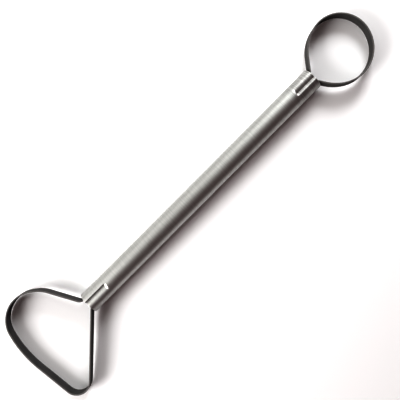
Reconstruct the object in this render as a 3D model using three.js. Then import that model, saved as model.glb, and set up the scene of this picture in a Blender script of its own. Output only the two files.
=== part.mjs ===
// Double-ended ribbon loop tool for trimming and hollowing clay.
// An aluminium tube is the handle. A loop of spring-steel ribbon stands out of each end: a round one
// at +X and a pear-shaped one at -X. Both tails of a ribbon run into the tube, one on each side, and
// the tube is pressed down between them from above and below, which traps them.
// Millimetres. +X runs along the handle towards the round loop, +Z is up, and the tool lies on z = 0.
// The origin is under the middle of the handle, where it touches the bench.
import * as THREE from "three";

// Driving dimensions.
const TUBE_RADIUS = 4;
const TUBE_WALL = 0.5;
const TUBE_LENGTH = 113.6;

const RIBBON_WIDTH = 5;
const RIBBON_THICKNESS = 0.5;
const TAIL_OFFSET = 1.95; // from the tube's axis to the middle of each tail
const TAIL_LENGTH = 12; // inside the tube

// The pressed grooves, looking out of each one's mouth. The press leans, so a groove's right side is
// steeper than its left. Its lowest line lies `low` to the left of the tube's axis, and it reaches
// `left` and `right` from there. Its length is from the mouth to where it has run out.
const ROUND_GROOVE = { length: 9.2, depth: 0.75, low: 0, left: 2.4, right: 1.15 };
const PEAR_GROOVE = { length: 9.8, depth: 1, low: -0.6, left: 3.1, right: 0.55 };
const GROOVE_END = 0.8; // the length over which a groove runs out

// Corners of each loop's centre line, with the radius that each is bent to. u is measured out of the
// tube's mouth and v to the left, looking out of it. The first and last corners are at the mouth.
const ROUND_CORNERS = [
  { u: 0.1, v: -TAIL_OFFSET, radius: 1.2 },
  { u: 3.6, v: -7.6, radius: 15.9 },
  { u: 21.1, v: -18.7, radius: 13 },
  { u: 31.6, v: 16, radius: 11.3 },
  { u: 7.5, v: 11.1, radius: 15 },
  { u: 0.2, v: TAIL_OFFSET, radius: 1.2 },
];
const PEAR_CORNERS = [
  { u: 1.2, v: -TAIL_OFFSET, radius: 2.5 },
  { u: 8.3, v: -15.1, radius: 11.8 },
  { u: 23.4, v: -26.7, radius: 10.4 },
  { u: 29.7, v: -4.2, radius: 42 },
  { u: 26.7, v: 27, radius: 4.8 },
  { u: 0.1, v: TAIL_OFFSET, radius: 1.2 },
];

const TIP_CLEARANCE = 0.1; // between a loop's lowest edge and the bench
const ROUND_LEAN = THREE.MathUtils.degToRad(2); // how far the round loop's left side leans down
const LEAN_LENGTH = 4; // from the mouth to where a loop leans fully
const RING_SEGMENTS = 80;
const ARC_STEP = THREE.MathUtils.degToRad(9);
const GROOVE_END_STEPS = 6;

const ALUMINIUM = new THREE.MeshStandardMaterial({
  color: new THREE.Color(0.74, 0.74, 0.72),
  roughness: 0.38,
  metalness: 1,
});
const SPRING_STEEL = new THREE.MeshStandardMaterial({
  color: new THREE.Color(0.2, 0.19, 0.18),
  roughness: 0.42,
  metalness: 1,
});

// ---- Handle tube ----

// How far the wall is pressed in at a place on the tube. A groove's sides fall to its lowest line and
// its inner end is rounded, so its depth depends on the distance from that line, as a share of how
// far the groove reaches that way.
function grooveDepth(x, y) {
  const groove = x > 0 ? ROUND_GROOVE : PEAR_GROOVE;
  const fromMouth = TUBE_LENGTH / 2 - Math.abs(x);
  const toLeft = Math.sign(x) * y - groove.low;
  const across = toLeft / (toLeft > 0 ? groove.left : groove.right);
  const past = Math.max(0, fromMouth - groove.length + GROOVE_END) / GROOVE_END;
  const share = Math.min(Math.hypot(across, past), 1);
  return groove.depth * (1 - Math.sin((share * Math.PI) / 2));
}

// Places along half of the tube where its mesh has a ring: the mouth, and steps along the groove's
// end. They are distances from the middle of the tube.
function ringPlaces(grooveLength) {
  const half = TUBE_LENGTH / 2;
  const places = [half];
  for (let i = 0; i <= GROOVE_END_STEPS; i += 1) {
    places.push(half - grooveLength + GROOVE_END * (1 - i / GROOVE_END_STEPS));
  }
  return places;
}

// The tube's rings have a flat side underneath and on top, at the tube's true radius. The grooves are
// pressed into it straight down from above and straight up from below.
function makeTube() {
  const pearPlaces = ringPlaces(PEAR_GROOVE.length).map((place) => -place);
  const places = [...pearPlaces, ...ringPlaces(ROUND_GROOVE.length).reverse()];
  const outer = TUBE_RADIUS / Math.cos(Math.PI / RING_SEGMENTS);
  const inner = outer - TUBE_WALL;
  const outside = places.map((place) => new THREE.Vector2(outer, place));
  const inside = places.map((place) => new THREE.Vector2(inner, place)).reverse();
  const profile = [...outside, ...inside, outside[0].clone()];
  const geometry = new THREE.LatheGeometry(profile, RING_SEGMENTS, Math.PI / RING_SEGMENTS);
  geometry.rotateZ(-Math.PI / 2);
  const position = geometry.getAttribute("position");
  for (let i = 0; i < position.count; i += 1) {
    const z = position.getZ(i);
    position.setZ(i, z - Math.sign(z) * grooveDepth(position.getX(i), position.getY(i)));
  }
  geometry.computeVertexNormals();
  const mesh = new THREE.Mesh(geometry, ALUMINIUM);
  mesh.name = "handle_tube";
  mesh.position.z = TUBE_RADIUS;
  return mesh;
}

// ---- Ribbon loops ----

// Points of a corner bent to a radius, between the points before and after it.
function bendCorner(before, corner, after) {
  const at = new THREE.Vector2(corner.u, corner.v);
  const into = at.clone().sub(new THREE.Vector2(before.u, before.v)).normalize();
  const out = new THREE.Vector2(after.u, after.v).sub(at).normalize();
  const turn = Math.atan2(into.cross(out), into.dot(out));
  const side = Math.sign(turn);
  const start = at.clone().addScaledVector(into, -corner.radius * Math.tan(Math.abs(turn) / 2));
  const normal = new THREE.Vector2(-into.y, into.x).multiplyScalar(side * corner.radius);
  const centre = start.clone().add(normal);
  const steps = Math.max(2, Math.ceil(Math.abs(turn) / ARC_STEP));
  const points = [];
  for (let i = 0; i <= steps; i += 1) {
    points.push(start.clone().rotateAround(centre, (turn * i) / steps));
  }
  return points;
}

// A centre line from one tail's end to the other's, through corners that are each bent.
function bendLine(corners) {
  const first = { u: -TAIL_LENGTH, v: corners[0].v };
  const last = { u: -TAIL_LENGTH, v: corners.at(-1).v };
  const stops = [first, ...corners, last];
  const bends = corners.flatMap((corner, i) => bendCorner(stops[i], corner, stops[i + 2]));
  return [new THREE.Vector2(first.u, first.v), ...bends, new THREE.Vector2(last.u, last.v)];
}

// The outline of a ribbon seen on edge: its centre line offset to both sides.
function ribbonOutline(line) {
  const left = [];
  const right = [];
  line.forEach((point, i) => {
    const before = line[Math.max(0, i - 1)];
    const after = line[Math.min(line.length - 1, i + 1)];
    const along = after.clone().sub(before).normalize();
    const normal = new THREE.Vector2(-along.y, along.x);
    left.push(point.clone().addScaledVector(normal, RIBBON_THICKNESS / 2));
    right.push(point.clone().addScaledVector(normal, -RIBBON_THICKNESS / 2));
  });
  return new THREE.Shape([...right, ...left.reverse()]);
}

// Turns the part of a loop that stands out of the tube about the handle's axis, so that its left side
// is lower than its right.
function leanOver(geometry, lean) {
  const position = geometry.getAttribute("position");
  for (let i = 0; i < position.count; i += 1) {
    const angle = -lean * THREE.MathUtils.clamp(position.getX(i) / LEAN_LENGTH, 0, 1);
    const v = position.getY(i);
    const z = position.getZ(i);
    position.setY(i, v * Math.cos(angle) - z * Math.sin(angle));
    position.setZ(i, v * Math.sin(angle) + z * Math.cos(angle));
  }
}

// How far a loop turns down about the mouth until its lowest edge almost meets the bench.
function droopAngle(position) {
  const room = TUBE_RADIUS - TIP_CLEARANCE;
  let angle = Math.PI / 2;
  for (let i = 0; i < position.count; i += 1) {
    const u = position.getX(i);
    const z = position.getZ(i);
    if (u > TUBE_RADIUS && z < 0) {
      angle = Math.min(angle, Math.asin(room / Math.hypot(u, z)) - Math.atan2(-z, u));
    }
  }
  return angle;
}

function droop(geometry) {
  const position = geometry.getAttribute("position");
  const angle = droopAngle(position);
  for (let i = 0; i < position.count; i += 1) {
    const u = position.getX(i);
    const z = position.getZ(i);
    if (u > 0) {
      position.setX(i, u * Math.cos(angle) + z * Math.sin(angle));
      position.setZ(i, z * Math.cos(angle) - u * Math.sin(angle));
    }
  }
}

function makeLoop(name, corners, lean) {
  const outline = ribbonOutline(bendLine(corners));
  const geometry = new THREE.ExtrudeGeometry(outline, { depth: RIBBON_WIDTH, bevelEnabled: false });
  geometry.translate(0, 0, -RIBBON_WIDTH / 2);
  leanOver(geometry, lean);
  droop(geometry);
  geometry.computeVertexNormals();
  const mesh = new THREE.Mesh(geometry, SPRING_STEEL);
  mesh.name = name;
  return mesh;
}

// ---- Assembly ----

const tool = new THREE.Group();
tool.add(makeTube());

const roundLoop = makeLoop("round_loop_blade", ROUND_CORNERS, ROUND_LEAN);
roundLoop.position.set(TUBE_LENGTH / 2, 0, TUBE_RADIUS);
tool.add(roundLoop);

const pearLoop = makeLoop("pear_loop_blade", PEAR_CORNERS, 0);
pearLoop.position.set(-TUBE_LENGTH / 2, 0, TUBE_RADIUS);
pearLoop.rotation.z = Math.PI;
tool.add(pearLoop);

export default tool;
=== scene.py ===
# The looks of a double-ended ribbon loop tool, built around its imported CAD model.
# Shapes are worked out in millimetres in the part's frame, and turned into metres by new_object().
import math

import bpy
from mathutils import Matrix, Vector


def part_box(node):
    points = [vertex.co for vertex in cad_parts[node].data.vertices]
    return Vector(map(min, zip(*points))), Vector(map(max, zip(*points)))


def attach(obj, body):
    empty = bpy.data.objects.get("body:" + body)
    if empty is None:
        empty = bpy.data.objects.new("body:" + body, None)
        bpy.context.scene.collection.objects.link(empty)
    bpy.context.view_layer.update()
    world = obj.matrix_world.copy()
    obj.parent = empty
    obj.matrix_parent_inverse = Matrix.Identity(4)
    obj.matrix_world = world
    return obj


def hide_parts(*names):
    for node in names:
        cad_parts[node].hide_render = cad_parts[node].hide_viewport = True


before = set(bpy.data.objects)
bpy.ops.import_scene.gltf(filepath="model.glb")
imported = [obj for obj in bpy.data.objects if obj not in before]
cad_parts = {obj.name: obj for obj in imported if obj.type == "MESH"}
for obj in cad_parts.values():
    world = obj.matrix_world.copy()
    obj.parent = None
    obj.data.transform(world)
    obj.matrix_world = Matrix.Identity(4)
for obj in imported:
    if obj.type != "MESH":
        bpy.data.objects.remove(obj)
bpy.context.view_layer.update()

MM = 0.001

# ---- Driving dimensions, in millimetres ----

tube_low, tube_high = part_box("handle_tube")
TUBE_RADIUS = (tube_high.z - tube_low.z) / 2 / MM
TUBE_HALF = tube_high.x / MM
AXIS_HEIGHT = (tube_high.z + tube_low.z) / 2 / MM
TUBE_WALL = 0.5
LIP_RADIUS = 0.12

# Each pressed groove, looking out of its mouth. low is where its lowest line lies, to the left of the
# tube's axis. left and right are how far it reaches from that line to each side.
ROUND_GROOVE = {"length": 9.2, "depth": 0.75, "low": 0.0, "left": 2.4, "right": 1.15}
PEAR_GROOVE = {"length": 9.8, "depth": 1.0, "low": -0.6, "left": 3.1, "right": 0.55}
GROOVE_END = 0.8  # the length over which a groove runs out

RIBBON_WIDTH = 5.0
RIBBON_THICKNESS = 0.5
GROUND_RADIUS = 0.12  # of a ribbon's ground edges
TAIL_OFFSET = 1.95  # from the tube's axis to the middle of each tail
TAIL_LENGTH = 12.0  # inside the tube
TIP_CLEARANCE = 0.1  # between a loop's lowest edge and the bench
ROUND_LEAN = math.radians(2)  # how far the round loop's left side leans down
LEAN_LENGTH = 4.0  # from the mouth to where a loop leans fully

# Corners of each loop's centre line as u, v and bend radius: u is measured out of the tube's mouth
# and v to the left, looking out of it.
ROUND_CORNERS = [
    (0.1, -TAIL_OFFSET, 1.2),
    (3.6, -7.6, 15.9),
    (21.1, -18.7, 13.0),
    (31.6, 16.0, 11.3),
    (7.5, 11.1, 15.0),
    (0.2, TAIL_OFFSET, 1.2),
]
PEAR_CORNERS = [
    (1.2, -TAIL_OFFSET, 2.5),
    (8.3, -15.1, 11.8),
    (23.4, -26.7, 10.4),
    (29.7, -4.2, 42.0),
    (26.7, 27.0, 4.8),
    (0.1, TAIL_OFFSET, 1.2),
]

# How fine the meshes are. The tube's is fine from each mouth to a little past the groove's end.
RING_STEPS = 256
ROUND_FINE_LENGTH = 11.0
PEAR_FINE_LENGTH = 11.5
FINE_STEP = 0.2
COARSE_STEP = 4.0
LIP_STEPS = 4
LINE_STEP = 0.5
BEND_STEP = math.radians(2.5)
FEWEST_BEND_STEPS = 3
FLAT_SHARES = (0.0, 0.25, 0.5, 0.75, 0.9)  # places up a ribbon's side, as shares of half its width
GROUND_DEGREES = (0, 30, 60, 90)  # and round its ground edge


# ---- Camera ----

# Lengths are in millimetres.
CAMERA_PLACE = (-2.64, 3.0, 218.5)
CAMERA_AIM = (-2.56, -2.26, 4.0)
CAMERA_ROLL = 44.91  # degrees from +X to the way that is up in the view
CAMERA_LENS = 53.82
CAMERA_SENSOR = 36


def make_camera():
    """Looks straight down on the bench, near enough, with the round loop at the upper right."""
    place = Vector(CAMERA_PLACE) * MM
    aim = Vector(CAMERA_AIM) * MM
    roll = math.radians(CAMERA_ROLL)
    forward = (aim - place).normalized()
    right = forward.cross(Vector((math.cos(roll), math.sin(roll), 0))).normalized()
    up = right.cross(forward)
    data = bpy.data.cameras.new("camera")
    data.lens = CAMERA_LENS
    data.sensor_width = CAMERA_SENSOR
    data.clip_start = 0.01
    data.clip_end = 10
    camera = bpy.data.objects.new("camera", data)
    turn = Matrix((right, up, -forward)).transposed()
    camera.matrix_world = Matrix.Translation(place) @ turn.to_4x4()
    bpy.context.collection.objects.link(camera)
    bpy.context.scene.camera = camera


# ---- Mesh helpers ----

def new_object(name, vertices, faces, attributes, material):
    """A smooth-shaded mesh object. Each attribute is a list with a number for each vertex."""
    mesh = bpy.data.meshes.new(name)
    mesh.from_pydata([Vector(v) * MM for v in vertices], [], faces)
    for key, values in attributes.items():
        layer = mesh.attributes.new(key, "FLOAT", "POINT")
        layer.data.foreach_set("value", values)
    mesh.shade_smooth()
    mesh.materials.append(material)
    made = bpy.data.objects.new(name, mesh)
    bpy.context.collection.objects.link(made)
    return made


def bridge(rows, columns, close_rows):
    """Quads over a grid of vertices. Each row of them closes on itself, and the last row may join
    the first."""
    faces = []
    for i in range(rows if close_rows else rows - 1):
        j = (i + 1) % rows
        for k in range(columns):
            m = (k + 1) % columns
            faces.append((i * columns + k, i * columns + m, j * columns + m, j * columns + k))
    return faces


# ---- Handle tube ----

def groove_depth(x, y):
    """How far the wall is pressed in at a place on the tube: fully at the groove's lowest line, and
    less towards its sides and its rounded inner end."""
    groove = ROUND_GROOVE if x > 0 else PEAR_GROOVE
    from_mouth = TUBE_HALF - abs(x)
    to_left = (y if x > 0 else -y) - groove["low"]
    across = to_left / groove["left" if to_left > 0 else "right"]
    past = max(0.0, from_mouth - groove["length"] + GROOVE_END) / GROOVE_END
    share = min(math.hypot(across, past), 1.0)
    return groove["depth"] * (1 - math.sin(share * math.pi / 2))


def spaced(start, end, step):
    """Even places from start up to, but not at, end, no further than a step apart."""
    count = max(1, math.ceil(abs(end - start) / step))
    return [start + (end - start) * i / count for i in range(count)]


def rounded_edge(x, radius, first):
    """Points of a quarter turn down from the angle first, in degrees, about (x, radius). The point
    that it starts at is left out."""
    points = []
    for i in range(1, LIP_STEPS + 1):
        angle = math.radians(first - 90 * i / LIP_STEPS)
        points.append((x + LIP_RADIUS * math.cos(angle), radius + LIP_RADIUS * math.sin(angle)))
    return points


def tube_profile():
    """The wall's outline as (x, radius): along the outside, over a lip, back inside, over a lip."""
    inner = TUBE_RADIUS - TUBE_WALL
    lip_start = TUBE_HALF - LIP_RADIUS
    pear_end = PEAR_FINE_LENGTH - TUBE_HALF
    round_end = TUBE_HALF - ROUND_FINE_LENGTH
    stations = spaced(-lip_start, pear_end, FINE_STEP)
    stations += spaced(pear_end, round_end, COARSE_STEP)
    stations += spaced(round_end, lip_start, FINE_STEP) + [lip_start]
    lip = rounded_edge(lip_start, TUBE_RADIUS - LIP_RADIUS, 90)
    lip.append((TUBE_HALF, inner + LIP_RADIUS))
    lip += rounded_edge(lip_start, inner + LIP_RADIUS, 0)
    outside = [(x, TUBE_RADIUS) for x in stations]
    inside = [(x, inner) for x in reversed(stations)]
    other_lip = [(-x, radius) for x, radius in reversed(lip)]
    return outside + lip + inside[1:-1] + other_lip


def make_tube(material):
    """The wall's outline turned round the axis, with the grooves pressed in from above and below."""
    profile = tube_profile()
    vertices = []
    along = []
    around = []
    for x, radius in profile:
        for k in range(RING_STEPS):
            angle = 2 * math.pi * k / RING_STEPS
            y = radius * math.cos(angle)
            z = radius * math.sin(angle)
            z -= math.copysign(groove_depth(x, y), z)
            vertices.append((x, y, z + AXIS_HEIGHT))
            along.append(x)
            around.append(angle * TUBE_RADIUS)
    faces = bridge(len(profile), RING_STEPS, True)
    tube = new_object("tube_handle", vertices, faces, {"along": along, "around": around}, material)
    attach(tube, "root")
    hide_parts("handle_tube")


# ---- Ribbon loops ----

def bend_corner(before, corner, after, radius):
    """Points of a corner bent to a radius, between the points before and after it."""
    into = (corner - before).normalized()
    out = (after - corner).normalized()
    turn = math.atan2(into.x * out.y - into.y * out.x, into.dot(out))
    start = corner - into * radius * math.tan(abs(turn) / 2)
    centre = start + Vector((-into.y, into.x)) * math.copysign(radius, turn)
    steps = max(FEWEST_BEND_STEPS, math.ceil(abs(turn) / BEND_STEP))
    arm = start - centre
    return [centre + Matrix.Rotation(turn * i / steps, 2) @ arm for i in range(steps + 1)]


def bend_line(corners):
    """The ribbon's centre line as evenly close points, from one tail's end to the other's."""
    stops = [Vector((-TAIL_LENGTH, corners[0][1]))]
    stops += [Vector(corner[:2]) for corner in corners]
    stops += [Vector((-TAIL_LENGTH, corners[-1][1]))]
    bends = [stops[0]]
    for i, corner in enumerate(corners):
        bends += bend_corner(stops[i], stops[i + 1], stops[i + 2], corner[2])
    bends.append(stops[-1])
    line = []
    for start, end in zip(bends, bends[1:]):
        count = max(1, math.ceil((end - start).length / LINE_STEP))
        line += [start.lerp(end, i / count) for i in range(count)]
    return line + [bends[-1]]


def ribbon_section():
    """The ribbon's cross-section as (offset to the left, height, share of ground edge)."""
    half_width = RIBBON_WIDTH / 2
    half_thick = RIBBON_THICKNESS / 2
    quarter = [(half_thick, half_width * share, 0.0) for share in FLAT_SHARES]
    for degrees in GROUND_DEGREES:
        angle = math.radians(degrees)
        offset = half_thick - GROUND_RADIUS * (1 - math.cos(angle))
        height = half_width - GROUND_RADIUS * (1 - math.sin(angle))
        quarter.append((offset, height, 1.0))
    upper_left = [(-a, b, g) for a, b, g in reversed(quarter)]
    lower_left = [(-a, -b, g) for a, b, g in quarter[1:]]
    lower_right = [(a, -b, g) for a, b, g in reversed(quarter[1:])]
    return quarter + upper_left + lower_left + lower_right


def lean_over(place, lean):
    """Turns a place outside the tube about the handle's axis, so that the loop's left side is lower."""
    share = min(1.0, max(0.0, place.x) / LEAN_LENGTH)
    return Matrix.Rotation(-lean * share, 3, "X") @ place


def droop_angle(places):
    """How far a loop turns down about the mouth until its lowest edge almost meets the bench."""
    room = AXIS_HEIGHT - TIP_CLEARANCE
    angles = []
    for place in places:
        if place.x > AXIS_HEIGHT and place.z < 0:
            below_mouth = math.atan2(-place.z, place.x)
            angles.append(math.asin(room / math.hypot(place.x, place.z)) - below_mouth)
    return min(angles)


def sweep(line, section, lean):
    """The section's places along the line, and the materials' values at each of them."""
    places = []
    values = {"along": [], "across": [], "ground": []}
    travelled = 0.0
    for i, point in enumerate(line):
        before = line[max(0, i - 1)]
        after = line[min(len(line) - 1, i + 1)]
        travelled += (point - before).length
        direction = (after - before).normalized()
        normal = Vector((-direction.y, direction.x))
        for offset, height, ground in section:
            flat = point + normal * offset
            places.append(lean_over(Vector((flat.x, flat.y, height)), lean))
            values["along"].append(travelled)
            values["across"].append(height)
            values["ground"].append(ground)
    return places, values


def make_loop(name, node, corners, lean, mouth, turn, material):
    """A ribbon bent to a loop. It droops from the mouth, and its tails run straight into the tube."""
    line = bend_line(corners)
    section = ribbon_section()
    places, values = sweep(line, section, lean)
    tilt = Matrix.Rotation(droop_angle(places), 4, "Y")
    placing = Matrix.Translation((mouth, 0, AXIS_HEIGHT)) @ Matrix.Rotation(turn, 4, "Z")
    vertices = [placing @ (tilt @ place if place.x > 0 else place) for place in places]
    count = len(section)
    faces = bridge(len(line), count, False)
    faces.append(tuple(reversed(range(count))))
    faces.append(tuple(range(len(vertices) - count, len(vertices))))
    loop = new_object(name, vertices, faces, values, material)
    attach(loop, "root")
    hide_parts(node)


# ---- Materials ----

ALUMINIUM_DARK = (0.50, 0.505, 0.49, 1.0)
ALUMINIUM_PALE = (0.62, 0.62, 0.605, 1.0)
TARNISH = (0.46, 0.46, 0.445, 1.0)
# Dark colour for the turning marks. It is real scratching, and also painted shade that dims the
# highlights near the round mouth.
TURNING_MARK_AND_PAINTED_SHADE = (0.22, 0.21, 0.21, 1.0)
MARKS_AND_SHADE_FROM = 43.0  # millimetres along the handle, where the turning marks and the painted shade near the round mouth begin to grow
MARKS_AND_SHADE_TO = 49.0  # and where they are at their full strength
SCRATCH_DEPTH = 0.00004  # metres

STEEL_DARK = (0.070, 0.068, 0.067, 1.0)
STEEL_PALE = (0.100, 0.097, 0.095, 1.0)
STEEL_STREAK = (0.15, 0.147, 0.144, 1.0)
GROUND_STEEL = (0.17, 0.165, 0.16, 1.0)
ROLLING_DEPTH = 0.00003  # metres

BENCH_WHITE = (0.93, 0.93, 0.93, 1.0)
NOISE_ROUGHNESS = 0.55


class Nodes:
    """A material's node tree, with short calls to add and link its nodes."""

    def __init__(self, name):
        self.material = bpy.data.materials.new(name)
        self.material.use_nodes = True
        self.tree = self.material.node_tree
        self.shader = self.tree.nodes["Principled BSDF"]

    def add(self, kind, settings=None, **inputs):
        """A new node. Settings are its own properties, and inputs feed its sockets by name."""
        node = self.tree.nodes.new(kind)
        for key, value in (settings or {}).items():
            setattr(node, key, value)
        for key, value in inputs.items():
            self.feed(node.inputs[key], value)
        return node

    def feed(self, socket, value):
        """Links an output to the socket, or sets the socket to a plain value."""
        if isinstance(value, bpy.types.NodeSocket):
            self.tree.links.new(value, socket)
        else:
            socket.default_value = value

    def attribute(self, name):
        return self.add("ShaderNodeAttribute", {"attribute_name": name}).outputs["Fac"]

    def calculate(self, operation, first, second):
        node = self.add("ShaderNodeMath", {"operation": operation})
        self.feed(node.inputs[0], first)
        self.feed(node.inputs[1], second)
        return node.outputs[0]

    def marks(self, first, first_rate, second, second_rate, seed, detail):
        """Noise with a rate per millimetre for each of two ways over the surface. The seed picks
        its pattern."""
        x = self.calculate("MULTIPLY", first, first_rate)
        y = self.calculate("MULTIPLY", second, second_rate)
        place = self.add("ShaderNodeCombineXYZ", X=x, Y=y, Z=seed).outputs[0]
        node = self.add("ShaderNodeTexNoise", Vector=place, Scale=1.0, Detail=detail)
        node.inputs["Roughness"].default_value = NOISE_ROUGHNESS
        return node.outputs["Fac"]

    def ramp(self, value, *stops):
        node = self.add("ShaderNodeValToRGB", Fac=value)
        for mark, (place, colour) in zip(node.color_ramp.elements, stops):
            mark.position = place
            mark.color = colour
        return node.outputs["Color"]

    def span(self, value, low, high, to_low, to_high):
        """The value, with low to high stretched to run from to_low to to_high."""
        node = self.add("ShaderNodeMapRange")
        for socket, number in zip(node.inputs, (value, low, high, to_low, to_high)):
            self.feed(socket, number)
        return node.outputs[0]

    def mix(self, share, first, second):
        node = self.add("ShaderNodeMix", {"data_type": "RGBA"})
        self.feed(node.inputs["Factor"], share)
        self.feed(node.inputs["A"], first)
        self.feed(node.inputs["B"], second)
        return node.outputs["Result"]

    def bump(self, height, strength, distance):
        node = self.add("ShaderNodeBump", Strength=strength, Distance=distance, Height=height)
        return node.outputs[0]


def aluminium():
    """Drawn tube, rubbed with fine paper as it turned, so that its scratches run round it."""
    n = Nodes("satin_aluminium")
    along = n.attribute("along")
    around = n.attribute("around")
    fine = n.marks(along, 3.5, around, 0.10, seed=0.0, detail=4.0)
    broad = n.marks(along, 0.9, around, 0.10, seed=7.0, detail=3.0)
    fine_part = n.calculate("MULTIPLY", fine, 0.65)
    streaks = n.calculate("ADD", fine_part, n.calculate("MULTIPLY", broad, 0.35))
    patches = n.marks(along, 0.10, around, 0.25, seed=3.0, detail=2.0)
    colour = n.ramp(streaks, (0.3, ALUMINIUM_DARK), (0.7, ALUMINIUM_PALE))
    tarnished = n.mix(n.span(patches, 0.45, 0.8, 0.0, 0.25), colour, TARNISH)
    # Dark rings round the tube, much stronger towards the round mouth. They are real turning marks, and
    # also painted shade that darkens the highlights there.
    rings = n.marks(along, 2.5, around, 0.06, seed=11.0, detail=1.0)
    ring_strength = n.span(rings, 0.38, 0.62, 0.0, 0.45)
    darker_near_round_loop = n.span(along, MARKS_AND_SHADE_FROM, MARKS_AND_SHADE_TO, 0.12, 1.0)
    marks_and_painted_shade = n.calculate("MULTIPLY", ring_strength, darker_near_round_loop)
    n.feed(n.shader.inputs["Base Color"], n.mix(marks_and_painted_shade, tarnished, TURNING_MARK_AND_PAINTED_SHADE))
    n.shader.inputs["Metallic"].default_value = 1.0
    n.feed(n.shader.inputs["Roughness"], n.span(streaks, 0.3, 0.7, 0.56, 0.42))
    relief = n.calculate("SUBTRACT", streaks, marks_and_painted_shade)
    n.feed(n.shader.inputs["Normal"], n.bump(relief, 0.6, SCRATCH_DEPTH))
    return n.material


def spring_steel():
    """Dark, rolled spring steel: faint marks along the ribbon, and paler where its edges are ground."""
    n = Nodes("dark_spring_steel")
    along = n.attribute("along")
    across = n.attribute("across")
    rolled = n.marks(along, 0.25, across, 5.0, seed=0.0, detail=4.0)
    cloud = n.marks(along, 0.18, across, 0.3, seed=5.0, detail=3.0)
    dark = n.ramp(cloud, (0.3, STEEL_DARK), (0.7, STEEL_PALE))
    streaked = n.mix(n.span(rolled, 0.35, 0.75, 0.0, 0.5), dark, STEEL_STREAK)
    edge = n.calculate("MULTIPLY", n.attribute("ground"), n.span(rolled, 0.2, 0.6, 0.75, 1.0))
    n.feed(n.shader.inputs["Base Color"], n.mix(edge, streaked, GROUND_STEEL))
    n.shader.inputs["Metallic"].default_value = 0.1
    n.shader.inputs["Specular IOR Level"].default_value = 0.0
    n.feed(n.shader.inputs["Roughness"], n.span(rolled, 0.3, 0.7, 0.58, 0.46))
    n.feed(n.shader.inputs["Normal"], n.bump(rolled, 0.15, ROLLING_DEPTH))
    return n.material


def bench_white():
    n = Nodes("bench_white")
    n.shader.inputs["Base Color"].default_value = BENCH_WHITE
    n.shader.inputs["Roughness"].default_value = 0.9
    n.shader.inputs["Specular IOR Level"].default_value = 0.1
    return n.material


# ---- Bench, lights and backdrop ----

BENCH_RINGS = 24
BENCH_STEPS = 96
BENCH_MIDDLE = 20  # the first ring's radius, in millimetres
BENCH_RADIUS = 400  # the last ring's
BENCH_RIM = 0.8  # the share of the rings that are level
BENCH_CURVE = 40  # how fast the others drop

# Each light's name, azimuth, elevation, distance, width and height, watts, and colour. Angles are in
# degrees, from +X toward +Y and up from the bench, and lengths in millimetres.
LIGHTS = [
    ("left_softbox", 159, 32, 450, (210, 210), 1.78, (0.99, 0.99, 0.99)),
    ("left_low_softbox", 172, 18, 450, (240, 190), 0.74, (1.0, 0.985, 0.98)),
    ("right_softbox", 33, 30, 450, (160, 160), 1.84, (0.97, 0.99, 1.0)),
    ("back_panel", 90, 30, 500, (750, 320), 0.95, (0.96, 1.0, 0.97)),
    ("top_panel", 90, 70, 500, (750, 360), 0.49, (0.93, 1.0, 0.95)),
]

ROOM_COLOUR = (1.0, 0.58, 0.60, 1.0)
ROOM_STRENGTH = 0.12
BACKDROP_COLOUR = (0.9, 0.9, 0.9, 1.0)
BACKDROP_STRENGTH = 1.0
DISPLAY_GAMMA = 0.62  # below 1, it deepens the shadows


def make_bench():
    """A plain pale floor: a wide sheet that curves down at its rim."""
    vertices = []
    for i in range(BENCH_RINGS):
        share = i / (BENCH_RINGS - 1)
        radius = BENCH_MIDDLE + (BENCH_RADIUS - BENCH_MIDDLE) * share ** 2
        z = -BENCH_CURVE * max(0.0, share - BENCH_RIM) ** 2
        for k in range(BENCH_STEPS):
            angle = 2 * math.pi * k / BENCH_STEPS
            vertices.append((radius * math.cos(angle), radius * math.sin(angle), z))
    faces = bridge(BENCH_RINGS, BENCH_STEPS, False)
    faces.append(tuple(reversed(range(BENCH_STEPS))))
    bench = new_object("bench", vertices, faces, {}, bench_white())


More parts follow.
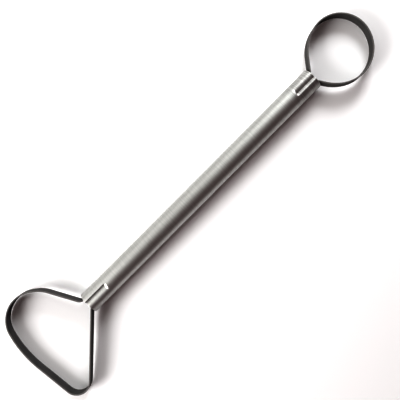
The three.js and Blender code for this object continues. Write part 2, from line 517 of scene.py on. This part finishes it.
def make_light(name, azimuth, elevation, distance, size, watts, colour):
    """A soft box aimed at the handle."""
    around = math.radians(azimuth)
    rise = math.radians(elevation)
    level = math.cos(rise)
    way = Vector((level * math.cos(around), level * math.sin(around), math.sin(rise)))
    data = bpy.data.lights.new(name, "AREA")
    data.shape = "RECTANGLE"
    data.size = size[0] * MM
    data.size_y = size[1] * MM
    data.energy = watts
    data.color = colour
    light = bpy.data.objects.new(name, data)
    light.location = way * distance * MM
    light.rotation_euler = (-way).to_track_quat("-Z", "Y").to_euler()
    bpy.context.collection.objects.link(light)


def make_lights():
    """Soft boxes off the handle's ends and dimmer panels behind it leave its near side dark."""
    for light in LIGHTS:
        make_light(*light)


def make_world():
    """A dim reddish room lights the tool. Seen directly, it is a plain pale backdrop."""
    world = bpy.data.worlds.new("studio")
    world.use_nodes = True
    tree = world.node_tree
    room = tree.nodes["Background"]
    room.inputs["Color"].default_value = ROOM_COLOUR
    room.inputs["Strength"].default_value = ROOM_STRENGTH
    backdrop = tree.nodes.new("ShaderNodeBackground")
    backdrop.inputs["Color"].default_value = BACKDROP_COLOUR
    backdrop.inputs["Strength"].default_value = BACKDROP_STRENGTH
    rays = tree.nodes.new("ShaderNodeLightPath")
    mix = tree.nodes.new("ShaderNodeMixShader")
    tree.links.new(rays.outputs["Is Camera Ray"], mix.inputs["Fac"])
    tree.links.new(room.outputs[0], mix.inputs[1])
    tree.links.new(backdrop.outputs[0], mix.inputs[2])
    tree.links.new(mix.outputs[0], tree.nodes["World Output"].inputs["Surface"])
    bpy.context.scene.world = world


# ---- Assembly ----

make_camera()
make_bench()
make_lights()
make_world()
bpy.context.scene.view_settings.view_transform = "Standard"
bpy.context.scene.view_settings.gamma = DISPLAY_GAMMA

satin = aluminium()
steel = spring_steel()
make_tube(satin)
make_loop("round_loop", "round_loop_blade", ROUND_CORNERS, ROUND_LEAN, TUBE_HALF, 0.0, steel)
make_loop("pear_loop", "pear_loop_blade", PEAR_CORNERS, 0.0, -TUBE_HALF, math.pi, steel)
